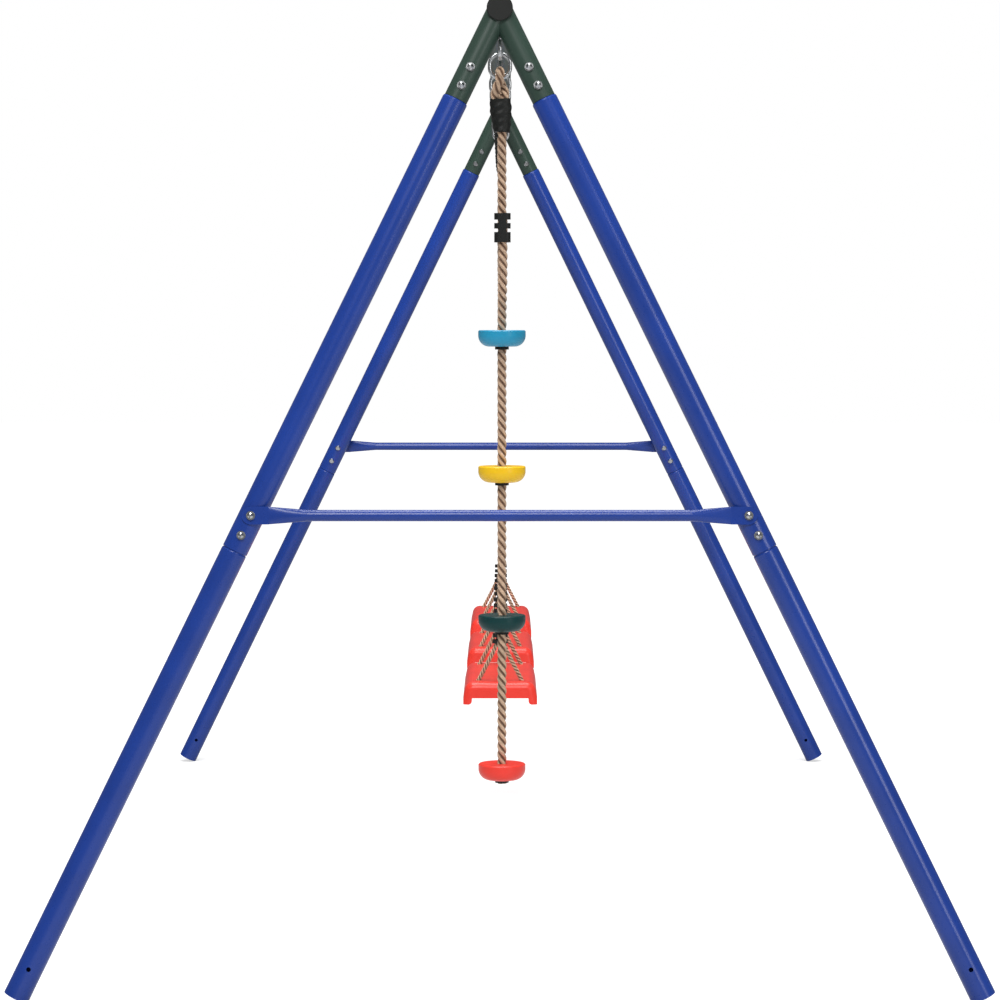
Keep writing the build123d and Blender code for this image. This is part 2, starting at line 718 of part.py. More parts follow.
def make_seat(seat_y, rope_ys):
    """Moulded seat: a shell on two side rails, open below, with four holes for the bridles."""
    y_lo, y_hi = seat_y - seat_length / 2, seat_y + seat_length / 2
    with BuildPart() as seat:
        with BuildSketch(Plane(origin=(0, y_hi, 0), x_dir=(1, 0, 0), z_dir=(0, -1, 0))) as end:
            with BuildLine():
                Polyline(*side_profile, *[(-x, z) for x, z in reversed(side_profile)], close=True)
            make_face()
            corners = end.vertices().sort_by(Axis.Y)
            fillet(corners[-2:], seat_edge_round)
            fillet(corners[:2], seat_foot_round)
        extrude(amount=seat_length)
        ends = seat.faces().sort_by(Axis.Y)
        rims = ends[0].edges() + ends[-1].edges()
        fillet([edge for edge in rims if edge.center().Z > low + seat_foot_round], seat_end_round)
        with BuildSketch(Plane(origin=(0, seat_y, low), z_dir=(0, 0, 1))):
            Rectangle(2 * rail_x, seat_length - 2 * seat_end_wall)
        extrude(amount=seat_height - seat_skin, mode=Mode.SUBTRACT)
        with BuildSketch(Plane(origin=(0, y_lo, low), x_dir=(1, 0, 0), z_dir=(0, 1, 0))):
            Rectangle(2 * rail_x, 2 * seat_end_lift)
        extrude(amount=seat_length, mode=Mode.SUBTRACT)
        feet = [
            edge for edge in seat.edges().filter_by(Axis.Y)
            if abs(abs(edge.center().X) - rail_x) < root and edge.center().Z < low + root
        ]
        fillet(feet, seat_foot_inner)
        for sign in (-1, 1):
            slot_x = sign * (half_w - rail_slot[1] - rail_slot[0] / 2)
            with BuildSketch(Plane(origin=(slot_x, seat_y, low), z_dir=(0, 0, 1))):
                Rectangle(rail_slot[0], seat_length - 2 * rail_slot_end)
            extrude(amount=seat_height - rail_slot_top, mode=Mode.SUBTRACT)
            for y in rope_ys:
                hole_at = (sign * seat_hole_x, y, seat_top)
                with BuildSketch(Plane(origin=hole_at, z_dir=(0, 0, -1))):
                    Circle(seat_hole_d / 2)
                extrude(amount=seat_skin, mode=Mode.SUBTRACT)
    return seat.part


def make_adjuster(y):
    """Rope adjuster: three flanges on a core, bored above for the rope, below for the bridle."""
    with BuildPart() as adjuster:
        for z in flange_zs:
            with BuildSketch(Plane(origin=(0, y, z), z_dir=(0, 0, 1))):
                RectangleRounded(*adjuster_flange[:2], adjuster_flange_round)
            extrude(amount=adjuster_flange[2])
        with BuildSketch(Plane(origin=(0, y, flange_zs[0]), z_dir=(0, 0, 1))):
            RectangleRounded(adjuster_core, adjuster_core, adjuster_core_round)
        extrude(amount=adjuster_top - flange_zs[0])
        with BuildSketch(Plane(origin=(0, y, adjuster_top), z_dir=(0, 0, -1))):
            Circle(seat_rope_d / 2 + bore_gap)
        extrude(amount=adjuster_rope_in + pocket_gap, mode=Mode.SUBTRACT)
        with BuildSketch(Plane(origin=(0, y, flange_zs[0]), z_dir=(0, 0, 1))):
            with Locations((-bridle_x, 0), (bridle_x, 0)):
                Circle(bridle_d / 2 + bore_gap)
        extrude(amount=adjuster_bridle_in + pocket_gap, mode=Mode.SUBTRACT)
    return adjuster.part


bridle_run_z = seat_top - seat_skin - hang_gap - bridle_d / 2
bridle_x = bridle_d / 2 + bridle_web
flange_zs = [seat_adjuster_bottom + k * adjuster_pitch for k in range(3)]
adjuster_top = flange_zs[-1] + adjuster_flange[2]
bridle_leg = [
    (-bridle_x, seat_adjuster_bottom + adjuster_bridle_in),
    (-bridle_x, seat_adjuster_bottom - bridle_lead),
    (-seat_hole_x - seat_hole_lean, bridle_run_z),
]
bridle_line = bridle_leg + [(-x, z) for x, z in reversed(bridle_leg)]
for number, seat_y in swings:
    reach = seat_length / 2 - seat_rope_inset
    rope_ys = {"near": seat_y - reach, "far": seat_y + reach}
    save(make_seat(seat_y, rope_ys.values()), f"swing_{number}_seat")

    with BuildPart() as links:
        for y in rope_ys.values():
            add(make_link(y))
    save(links.part, f"swing_{number}_links")

    sleeves_made = []
    for rope_name, y in rope_ys.items():
        tail, main, radii, leg_x = eye_points(y, seat_rope_d)
        slant = [
            (leg_x, y, bar_z - seat_slant[0]),
            (0, y, bar_z - seat_slant[1]),
            (0, y, adjuster_top - adjuster_rope_in),
        ]
        build_rope(
            f"swing_{number}_{rope_name}_rope",
            tail + main + slant,
            radii + radii[::-1] + seat_slant_radii,
            seat_rope_d,
        )
        runs = [
            (main[-2:] + slant, [eye_radii[0]] + seat_slant_radii),
            ([tail[2], tail[1], (-leg_x, y, tail_floor)], [eye_radii[0]]),
        ]
        sleeves_made.append(
            make_sleeve(y, seat_rope_d, 0, seat_sleeve_length, seat_sleeve_wall, runs)
        )
        build_rope(
            f"swing_{number}_{rope_name}_bridle",
            [(x, y, z) for x, z in bridle_line],
            [*bridle_radii, *bridle_radii[::-1]],
            bridle_d,
        )

    with BuildPart() as sleeves:
        for sleeve in sleeves_made:
            add(sleeve)
    save(sleeves.part, f"swing_{number}_sleeves")

    with BuildPart() as adjusters:
        for y in rope_ys.values():
            add(make_adjuster(y))
    save(adjusters.part, f"swing_{number}_adjusters")
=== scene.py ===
"""Swing set with climbing rope: finishes for its frame, twisted ropes and shrunk sleeves."""

import json
import math

import bmesh
import bpy
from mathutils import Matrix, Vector


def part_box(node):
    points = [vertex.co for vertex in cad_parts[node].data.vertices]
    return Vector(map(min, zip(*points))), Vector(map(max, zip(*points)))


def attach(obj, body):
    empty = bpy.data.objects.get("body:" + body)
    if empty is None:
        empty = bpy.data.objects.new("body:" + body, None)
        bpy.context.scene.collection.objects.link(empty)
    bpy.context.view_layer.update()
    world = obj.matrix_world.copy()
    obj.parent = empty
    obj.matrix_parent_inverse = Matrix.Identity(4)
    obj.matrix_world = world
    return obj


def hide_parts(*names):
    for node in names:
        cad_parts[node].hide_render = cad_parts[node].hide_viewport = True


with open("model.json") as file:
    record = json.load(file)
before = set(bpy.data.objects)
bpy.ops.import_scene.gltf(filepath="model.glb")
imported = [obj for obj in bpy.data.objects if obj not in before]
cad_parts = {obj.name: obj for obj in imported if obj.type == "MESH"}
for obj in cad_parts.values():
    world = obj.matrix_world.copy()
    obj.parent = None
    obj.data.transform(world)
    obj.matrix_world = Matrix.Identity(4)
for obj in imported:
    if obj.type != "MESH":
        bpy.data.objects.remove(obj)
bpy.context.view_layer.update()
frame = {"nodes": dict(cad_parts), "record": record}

MM = 0.001
nodes = frame["nodes"]
joints = {joint["name"]: joint for joint in frame["record"]["behaviour"]["joints"]}

# ---------------------------------------------------------------- sizes shared with the frame
CLIMB_ROPE_D = 19 * MM
SWING_ROPE_D = 12 * MM
BRIDLE_D = 10 * MM
LINK_WIRE = 8 * MM
HANG_GAP = 0.3 * MM
SWINGS = (1, 2, 3)

# ---------------------------------------------------------------- how the ropes are laid
CLIMB_LAY = 52 * MM
SWING_LAY = 34 * MM
BRIDLE_LAY = 28 * MM
STRANDS = 3
STRAND_SHARE = 0.464  # a strand's radius over the rope's
STRAND_SQUASH = 1.1  # a strand's width over its height, pressed against its neighbours
STEP_SHARE = 0.16  # the rings' spacing over the rope's diameter
THICK_SIDES, THIN_SIDES = 10, 8  # faces round a strand
ROUTE_STEPS = 24  # points read per span of a route


# ---------------------------------------------------------------- node helpers
def new_material(name):
    """A node material with its Principled shader, ready for the nodes that drive it."""
    material = bpy.data.materials.new(name)
    material.use_nodes = True
    tree = material.node_tree
    return material, tree, tree.nodes["Principled BSDF"]


def add_node(tree, kind, **settings):
    """A shader or geometry node; settings named after sockets set them, others are attributes."""
    node = tree.nodes.new(kind)
    for key, value in settings.items():
        label = key.replace("_", " ").title() if key[0].islower() else key
        if hasattr(node, key):
            setattr(node, key, value)
        else:
            node.inputs[label].default_value = value
    return node


def object_coords(tree, scale=(1, 1, 1)):
    """Object coordinates through a Mapping node."""
    coords = add_node(tree, "ShaderNodeTexCoord")
    mapping = add_node(tree, "ShaderNodeMapping")
    mapping.inputs["Scale"].default_value = scale
    tree.links.new(coords.outputs["Object"], mapping.inputs["Vector"])
    return mapping.outputs["Vector"]


def noise(tree, vector, scale, detail=4.0, roughness=0.5):
    node = add_node(tree, "ShaderNodeTexNoise", scale=scale, detail=detail, roughness=roughness)
    tree.links.new(vector, node.inputs["Vector"])
    return node.outputs["Fac"]


def ramp(tree, factor, stops):
    """A colour ramp; stops are (position, colour) pairs."""
    node = add_node(tree, "ShaderNodeValToRGB")
    elements = node.color_ramp.elements
    while len(elements) < len(stops):
        elements.new(0.5)
    for element, (position, colour) in zip(elements, stops):
        element.position = position
        element.color = (*colour, 1.0)
    tree.links.new(factor, node.inputs["Fac"])
    return node.outputs["Color"]


def spread(tree, factor, low, high):
    """Maps a 0 to 1 factor onto a range of values."""
    node = add_node(tree, "ShaderNodeMapRange")
    node.inputs["To Min"].default_value = low
    node.inputs["To Max"].default_value = high
    tree.links.new(factor, node.inputs["Value"])
    return node.outputs["Result"]


def bump(tree, height, strength, distance):
    node = add_node(tree, "ShaderNodeBump", strength=strength, distance=distance)
    tree.links.new(height, node.inputs["Height"])
    return node.outputs["Normal"]


def shade(colour, factor):
    return tuple(min(1.0, channel * factor) for channel in colour)


# ---------------------------------------------------------------- finishes
def paint(name, colour, roughness, coat):
    """Powder paint on steel: a faint orange peel, soft tone changes and fine handling marks."""
    material, tree, shader = new_material(name)
    vector = object_coords(tree)
    tone = noise(tree, vector, scale=9.0, detail=3.0)
    tree.links.new(
        ramp(tree, tone, [(0.3, shade(colour, 0.9)), (0.7, shade(colour, 1.1))]),
        shader.inputs["Base Color"],
    )
    marks = noise(tree, vector, scale=140.0, detail=5.0, roughness=0.65)
    tree.links.new(
        spread(tree, marks, roughness * 0.8, roughness * 1.25), shader.inputs["Roughness"]
    )
    peel = noise(tree, vector, scale=620.0, detail=2.0)
    tree.links.new(bump(tree, peel, strength=0.03, distance=0.1 * MM), shader.inputs["Normal"])
    shader.inputs["Specular IOR Level"].default_value = 0.35
    shader.inputs["Coat Weight"].default_value = coat
    shader.inputs["Coat Roughness"].default_value = 0.22
    return material


def moulded(name, colour, roughness, gloss=0.4):
    """Moulded plastic: fine skin texture, faint flow marks and a little light under its skin."""
    material, tree, shader = new_material(name)
    vector = object_coords(tree)
    flow = noise(tree, vector, scale=14.0, detail=3.0)
    tree.links.new(
        ramp(tree, flow, [(0.3, shade(colour, 0.92)), (0.72, shade(colour, 1.06))]),
        shader.inputs["Base Color"],
    )
    skin = noise(tree, vector, scale=900.0, detail=3.0)
    scuffs = noise(tree, vector, scale=75.0, detail=6.0, roughness=0.7)
    tree.links.new(
        spread(tree, scuffs, roughness * 0.8, roughness * 1.3), shader.inputs["Roughness"]
    )
    tree.links.new(bump(tree, skin, strength=0.05, distance=0.1 * MM), shader.inputs["Normal"])
    shader.inputs["Specular IOR Level"].default_value = gloss
    shader.inputs["Subsurface Weight"].default_value = 0.04
    shader.inputs["Subsurface Scale"].default_value = 4 * MM
    return material


def zinc_plate():
    """Bright zinc on steel with a faint cloudy passivation."""
    material, tree, shader = new_material("bright_zinc")
    vector = object_coords(tree)
    cloud = noise(tree, vector, scale=60.0, detail=5.0, roughness=0.6)
    tree.links.new(
        ramp(tree, cloud, [(0.3, (0.42, 0.44, 0.45)), (0.7, (0.62, 0.63, 0.64))]),
        shader.inputs["Base Color"],
    )
    tree.links.new(spread(tree, cloud, 0.18, 0.36), shader.inputs["Roughness"])
    fine = noise(tree, vector, scale=1500.0, detail=2.0)
    tree.links.new(bump(tree, fine, strength=0.08, distance=0.1 * MM), shader.inputs["Normal"])
    shader.inputs["Metallic"].default_value = 1.0
    return material


def rope_fibre(name, colour, dark):
    """Twisted yarn: slanted yarns on each strand and painted shade, deep where the strands meet.
    """
    yarn_slant = math.radians(24)
    yarn_stretch = 0.16
    patch_share = 0.35
    light_to, dark_from = 0.13, 0.26  # how far round from a strand's outer line the painted shade begins
    material, tree, shader = new_material(name)
    uv = add_node(tree, "ShaderNodeUVMap", uv_map="strand")
    slant = add_node(tree, "ShaderNodeMapping")
    slant.inputs["Rotation"].default_value = (0, 0, yarn_slant)
    slant.inputs["Scale"].default_value = (1.0, yarn_stretch, 1.0)
    tree.links.new(uv.outputs["UV"], slant.inputs["Vector"])
    yarns = noise(tree, slant.outputs["Vector"], scale=13.0, detail=4.0, roughness=0.65)
    patches = noise(tree, object_coords(tree), scale=45.0, detail=3.0)
    tone = add_node(tree, "ShaderNodeMix", data_type="FLOAT")
    tone.inputs[0].default_value = patch_share
    tree.links.new(yarns, tone.inputs[2])
    tree.links.new(patches, tone.inputs[3])
    fibre = ramp(
        tree,
        tone.outputs[0],
        [(0.34, shade(colour, 0.62)), (0.5, colour), (0.66, shade(colour, 1.4))],
    )
    split = add_node(tree, "ShaderNodeSeparateXYZ")
    tree.links.new(uv.outputs["UV"], split.inputs["Vector"])
    fold = add_node(tree, "ShaderNodeMath", operation="PINGPONG")
    fold.inputs[1].default_value = 0.5
    tree.links.new(split.outputs["X"], fold.inputs[0])
    # painted shade: the yarn colour darkens towards dark in the valleys between strands
    painted_shade_mask = add_node(tree, "ShaderNodeMapRange", interpolation_type="SMOOTHSTEP")
    painted_shade_mask.inputs["From Min"].default_value = light_to
    painted_shade_mask.inputs["From Max"].default_value = dark_from
    tree.links.new(fold.outputs["Value"], painted_shade_mask.inputs["Value"])
    blend = add_node(tree, "ShaderNodeMix", data_type="RGBA")
    tree.links.new(painted_shade_mask.outputs["Result"], blend.inputs[0])
    tree.links.new(fibre, blend.inputs[6])
    blend.inputs[7].default_value = (*dark, 1.0)
    tree.links.new(blend.outputs[2], shader.inputs["Base Color"])
    tree.links.new(bump(tree, yarns, strength=0.6, distance=0.8 * MM), shader.inputs["Normal"])
    shader.inputs["Roughness"].default_value = 0.85
    shader.inputs["Sheen Weight"].default_value = 0.2
    shader.inputs["Sheen Roughness"].default_value = 0.4
    return material


RED = (0.86, 0.046, 0.030)
black_plastic = moulded("black_plastic", (0.009, 0.010, 0.009), roughness=0.45, gloss=0.28)
# dark is the colour of the painted shade between the strands
rope_yarn = rope_fibre("rope_yarn", colour=(0.54, 0.375, 0.255), dark=(0.20, 0.11, 0.065))
SLOT_FINISH = {
    "blue_steel": paint("blue_paint", (0.009, 0.040, 0.255), roughness=0.28, coat=0.2),
    "green_steel": paint("dark_green_paint", (0.024, 0.048, 0.036), roughness=0.4, coat=0.1),
    "black_plastic": black_plastic,
    "zinc_steel": zinc_plate(),
    "rope": rope_yarn,
    "seat_red": moulded("red_plastic", RED, roughness=0.3),
    "disc_blue": moulded("sky_blue_plastic", (0.018, 0.30, 0.50), roughness=0.3),
    "disc_yellow": moulded("yellow_plastic", (0.90, 0.55, 0.008), roughness=0.3),
    "disc_green": moulded(
        "deep_green_plastic", (0.003, 0.042, 0.043), roughness=0.34, gloss=0.26
    ),
    "disc_red": moulded("disc_red_plastic", RED, roughness=0.3),
}
for subpart in frame["record"]["subparts"]:
    mesh = nodes[subpart["node"]].data
    mesh.materials.clear()
    mesh.materials.append(SLOT_FINISH[subpart["material_slot"]])


# ---------------------------------------------------------------- ropes
def add_object(name, mesh):
    made = bpy.data.objects.new(name, mesh)
    bpy.context.scene.collection.objects.link(made)
    return made


def route_line(points):
    """A mesh line along the smooth NURBS spline whose control points these are."""
    curve = bpy.data.curves.new("route", "CURVE")
    curve.dimensions = "3D"
    spline = curve.splines.new("NURBS")
    spline.points.add(len(points) - 1)
    for control, place in zip(spline.points, points):
        control.co = (*place, 1.0)
    spline.order_u = 3
    spline.use_endpoint_u = True
    spline.resolution_u = ROUTE_STEPS
    guide = add_object("route", curve)
    bpy.context.view_layer.update()
    depsgraph = bpy.context.evaluated_depsgraph_get()
    line = bpy.data.meshes.new_from_object(guide.evaluated_get(depsgraph))
    bpy.data.objects.remove(guide)
    bpy.data.curves.remove(curve)
    return line


def even_points(points, step):
    """The same line with its points about one step apart."""
    lengths = [(b - a).length for a, b in zip(points, points[1:])]
    total = sum(lengths)
    count = max(2, round(total / step))
    spacing = total / count
    made, walked, index = [points[0].copy()], 0.0, 0
    for number in range(1, count):
        target = number * spacing
        while walked + lengths[index] < target:
            walked += lengths[index]
            index += 1
        share = (target - walked) / lengths[index]
        made.append(points[index].lerp(points[index + 1], share))
    made.append(points[-1].copy())
    return made, total


def wired(tree, kind, operation, values):
    """The result of a math node whose values are numbers or sockets."""
    node = add_node(tree, kind, operation=operation)
    sockets = [socket for socket in node.inputs if socket.enabled]
    for socket, value in zip(sockets, values):
        if isinstance(value, bpy.types.NodeSocket):
            tree.links.new(value, socket)
        else:
            socket.default_value = value
    return next(socket for socket in node.outputs if socket.enabled)


def calc(tree, operation, *values):
    return wired(tree, "ShaderNodeMath", operation, values)


def vector_calc(tree, operation, *values):
    return wired(tree, "ShaderNodeVectorMath", operation, values)


def captured(tree, geometry, **fields):
    """Geometry with these point fields kept on it, and a socket for each."""
    node = add_node(tree, "GeometryNodeCaptureAttribute", domain="POINT")
    for name, (kind, field) in fields.items():
        node.capture_items.new(kind, name)
        tree.links.new(field, node.inputs[name])
    tree.links.new(geometry, node.inputs["Geometry"])
    return node.outputs["Geometry"], [node.outputs[name] for name in fields]


def strand_tree():
    """Geometry nodes that twist strands round a route, with yarn coordinates named strand."""
    tree = bpy.data.node_groups.new("twisted_strands", "GeometryNodeTree")
    for label, kind in (
        ("Route", "NodeSocketGeometry"),
        ("Diameter", "NodeSocketFloat"),
        ("Lay", "NodeSocketFloat"),
        ("Strands", "NodeSocketInt"),
        ("Strand Share", "NodeSocketFloat"),
        ("Strand Squash", "NodeSocketFloat"),
        ("Sides", "NodeSocketInt"),
        ("Step", "NodeSocketFloat"),
        ("Finish", "NodeSocketMaterial"),
    ):
        tree.interface.new_socket(label, in_out="INPUT", socket_type=kind)
    tree.interface.new_socket("Rope", in_out="OUTPUT", socket_type="NodeSocketGeometry")
    asked = tree.nodes.new("NodeGroupInput").outputs
    radius = calc(tree, "DIVIDE", asked["Diameter"], 2.0)
    strand_r = calc(tree, "MULTIPLY", radius, asked["Strand Share"])
    orbit = calc(tree, "SUBTRACT", radius, strand_r)

    route = add_node(tree, "GeometryNodeMeshToCurve")
    tree.links.new(asked["Route"], route.inputs["Mesh"])
    even = add_node(tree, "GeometryNodeResampleCurve", mode="LENGTH")
    tree.links.new(route.outputs["Curve"], even.inputs["Curve"])
    tree.links.new(asked["Step"], even.inputs["Length"])
    copies = add_node(tree, "GeometryNodeDuplicateElements", domain="SPLINE")
    tree.links.new(even.outputs["Curve"], copies.inputs["Geometry"])
    tree.links.new(asked["Strands"], copies.inputs["Amount"])

    place = add_node(tree, "GeometryNodeInputPosition").outputs["Position"]
    tangent = add_node(tree, "GeometryNodeInputTangent").outputs["Tangent"]
    normal = add_node(tree, "GeometryNodeInputNormal").outputs["Normal"]
    walked = add_node(tree, "GeometryNodeSplineParameter").outputs["Length"]
    phase = calc(tree, "DIVIDE", copies.outputs["Duplicate Index"], asked["Strands"])
    turns = calc(tree, "SUBTRACT", phase, calc(tree, "DIVIDE", walked, asked["Lay"]))
    turn = calc(tree, "MULTIPLY", turns, math.tau)
    binormal = vector_calc(tree, "CROSS_PRODUCT", tangent, normal)
    out = vector_calc(
        tree, "ADD",
        vector_calc(tree, "SCALE", normal, calc(tree, "COSINE", turn)),
        vector_calc(tree, "SCALE", binormal, calc(tree, "SINE", turn)),
    )
    around = vector_calc(tree, "CROSS_PRODUCT", tangent, out)
    lines, (place, out, around, walked) = captured(
        tree,
        copies.outputs["Geometry"],
        place=("VECTOR", place),
        out=("VECTOR", out),
        around=("VECTOR", around),
        walked=("FLOAT", walked),
    )
    section = add_node(tree, "GeometryNodeCurvePrimitiveCircle")
    tree.links.new(asked["Sides"], section.inputs["Resolution"])
    share = add_node(tree, "GeometryNodeSplineParameter").outputs["Factor"]
    section, (share,) = captured(tree, section.outputs["Curve"], share=("FLOAT", share))
    skin = add_node(tree, "GeometryNodeCurveToMesh")
    skin.inputs["Fill Caps"].default_value = True
    tree.links.new(lines, skin.inputs["Curve"])
    tree.links.new(section, skin.inputs["Profile Curve"])

    angle = calc(tree, "MULTIPLY", share, math.tau)
    reach = calc(tree, "MULTIPLY_ADD", calc(tree, "COSINE", angle), strand_r, orbit)
    side_r = calc(tree, "MULTIPLY", strand_r, asked["Strand Squash"])
    aside = calc(tree, "MULTIPLY", calc(tree, "SINE", angle), side_r)
    shaped = vector_calc(
        tree,
        "ADD",
        vector_calc(tree, "SCALE", out, reach),
        vector_calc(tree, "SCALE", around, aside),
    )
    twisted = add_node(tree, "GeometryNodeSetPosition")
    tree.links.new(skin.outputs["Mesh"], twisted.inputs["Geometry"])
    tree.links.new(vector_calc(tree, "ADD", place, shaped), twisted.inputs["Position"])

    # the face that closes a ring runs from the last share to 1, not back to 0
    step_back = 0.25
    face_share = add_node(tree, "GeometryNodeFieldOnDomain", domain="FACE")
    tree.links.new(share, face_share.inputs[0])
    behind = calc(tree, "SUBTRACT", face_share.outputs[0], share)
    closing = calc(tree, "GREATER_THAN", behind, step_back)
    yarn = add_node(tree, "ShaderNodeCombineXYZ")
    tree.links.new(calc(tree, "ADD", share, closing), yarn.inputs["X"])
    tree.links.new(calc(tree, "DIVIDE", walked, asked["Diameter"]), yarn.inputs["Y"])
    mapped = add_node(
        tree,
        "GeometryNodeStoreNamedAttribute",
        data_type="FLOAT2",
        domain="CORNER",
        Name="strand",
    )
    tree.links.new(twisted.outputs["Geometry"], mapped.inputs["Geometry"])
    tree.links.new(yarn.outputs["Vector"], mapped.inputs["Value"])

    most_corners = 4.5  # a strand's side faces have four; its flat ends have more
    corners = add_node(tree, "GeometryNodeInputMeshFaceNeighbors").outputs["Vertex Count"]
    smooth = add_node(tree, "GeometryNodeSetShadeSmooth", domain="FACE")
    tree.links.new(mapped.outputs["Geometry"], smooth.inputs["Geometry"])
    tree.links.new(calc(tree, "LESS_THAN", corners, most_corners), smooth.inputs["Selection"])
    whole = add_node(tree, "GeometryNodeRealizeInstances")
    tree.links.new(smooth.outputs["Geometry"], whole.inputs["Geometry"])
    finished = add_node(tree, "GeometryNodeSetMaterial")
    tree.links.new(whole.outputs["Geometry"], finished.inputs["Geometry"])
    tree.links.new(asked["Finish"], finished.inputs["Material"])
    given = tree.nodes.new("NodeGroupOutput")
    tree.links.new(finished.outputs["Geometry"], given.inputs["Rope"])
    return tree


STRAND_TREE = strand_tree()


def rope(name, controls, diameter, lay, sides):
    """Strands twisted round one another along a route, with the route's points and length."""
    line = route_line(controls)
    step = diameter * STEP_SHARE
    path, length = even_points([vertex.co.copy() for vertex in line.vertices], step)
    made = add_object(name, line)
    twist = made.modifiers.new("strands", "NODES")
    twist.node_group = STRAND_TREE
    asked = {
        "Diameter": diameter,
        "Lay": lay,
        "Strands": STRANDS,
        "Strand Share": STRAND_SHARE,
        "Strand Squash": STRAND_SQUASH,
        "Sides": sides,
        "Step": step,
        "Finish": rope_yarn,
    }
    for item in STRAND_TREE.interface.items_tree:
        if item.in_out == "INPUT" and item.name in asked:
            twist[item.identifier] = asked[item.name]
    bpy.context.view_layer.update()
    depsgraph = bpy.context.evaluated_depsgraph_get()
    mesh = bpy.data.meshes.new_from_object(made.evaluated_get(depsgraph))
    mesh.name = name
    made.modifiers.remove(twist)
    made.data = mesh
    bpy.data.meshes.remove(line)
    return made, path, length


def eye_controls(y, bar_z, diameter):
    """From the rope's cut end, round the link's bottom bar and back down, at x = 0."""
    cut_end, straight_to, turned_by, over_from = 50 * MM, 41 * MM, 24 * MM, 8 * MM
    wrap = LINK_WIRE / 2 + HANG_GAP + diameter / 2
    leg = diameter / 2 + HANG_GAP
    twist = 0.62 * wrap + 0.5 * MM
    going_up = [
        (-leg, y, bar_z - cut_end),
        (-leg, y, bar_z - straight_to),
        (-twist, y - twist, bar_z - turned_by),
        (0, y - wrap, bar_z - over_from),
        (0, y - wrap, bar_z + wrap),
    ]
    coming_down = [(-x, 2 * y - back_y, z) for x, back_y, z in reversed(going_up)]
    return going_up + coming_down[:-1], leg


# the climbing rope: its top rope's eye hangs in the link, and its tail ends below the adjuster
_, CLIMB_Y, BAR_Z = joints["climbing_rope_sway"]["pos_m"]
climb_low, climb_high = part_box("climb_rope")
tail_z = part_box("climb_top_rope")[0].z
front_shift = 2 * MM  # how far the lower rope's top stands aside from its hanging part
CLIMB_X = (climb_low.x + climb_high.x) / 2 - front_shift / 2

controls, leg_x = eye_controls(CLIMB_Y, BAR_Z, CLIMB_ROPE_D)
controls += [
    (leg_x, CLIMB_Y, BAR_Z - 54 * MM),
    (CLIMB_X, CLIMB_Y, BAR_Z - 100 * MM),
    (CLIMB_X, CLIMB_Y, BAR_Z - 146 * MM),
    (CLIMB_X, CLIMB_Y, tail_z),
]
piece, path, length = rope(
    "climb_top_rope_strands", controls, CLIMB_ROPE_D, CLIMB_LAY, THICK_SIDES
)
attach(piece, "climbing_rope")
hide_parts("climb_top_rope")

front_y = climb_low.y + CLIMB_ROPE_D / 2
front_x = CLIMB_X + front_shift
controls = [
    (front_x, front_y, climb_high.z),
    (front_x, front_y, tail_z + 55 * MM),
    (front_x, front_y, tail_z - 8 * MM),
    (CLIMB_X, CLIMB_Y, tail_z - 68 * MM),
    (CLIMB_X, CLIMB_Y, tail_z - 131 * MM),
    (CLIMB_X, CLIMB_Y, climb_low.z),
]
piece, path, length = rope(
    "climb_rope_strands", controls, CLIMB_ROPE_D, CLIMB_LAY, THICK_SIDES
)
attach(piece, "climbing_rope")
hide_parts("climb_rope")

# the swings: a rope from each link to its adjuster, and a bridle from there under the seat
bridle_top_x = 6.2 * MM
bridle_exit = 9.5 * MM
bridle_edge = 44 * MM, 15.3 * MM
bridle_corner = 53.5 * MM, 1.9 * MM
bridle_under = 33 * MM
for number in SWINGS:
    for where in ("near", "far"):
        node = f"swing_{number}_{where}_rope"
        low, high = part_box(node)
        y = (low.y + high.y) / 2
        controls, leg_x = eye_controls(y, BAR_Z, SWING_ROPE_D)
        controls += [
            (leg_x, y, BAR_Z - 52 * MM),
            (0, y, BAR_Z - 84 * MM),
            (0, y, BAR_Z - 116 * MM),
            (0, y, low.z),
        ]
        piece, path, length = rope(
            f"{node}_strands", controls, SWING_ROPE_D, SWING_LAY, THIN_SIDES
        )
        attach(piece, f"swing_{number}")
        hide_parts(node)

        node = f"swing_{number}_{where}_bridle"
        low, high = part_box(node)
        run_z = low.z + BRIDLE_D / 2
        going_down = [
            (-bridle_top_x, y, high.z),
            (-bridle_top_x, y, high.z - bridle_exit),
            (-bridle_edge[0], y, run_z + bridle_edge[1]),
            (-bridle_corner[0], y, run_z - bridle_corner[1]),
            (-bridle_under, y, run_z),
        ]
        controls = going_down + [(-x, at_y, z) for x, at_y, z in reversed(going_down)]
        piece, path, length = rope(
            f"{node}_strands", controls, BRIDLE_D, BRIDLE_LAY, THIN_SIDES
        )
        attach(piece, f"swing_{number}")
        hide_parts(node)

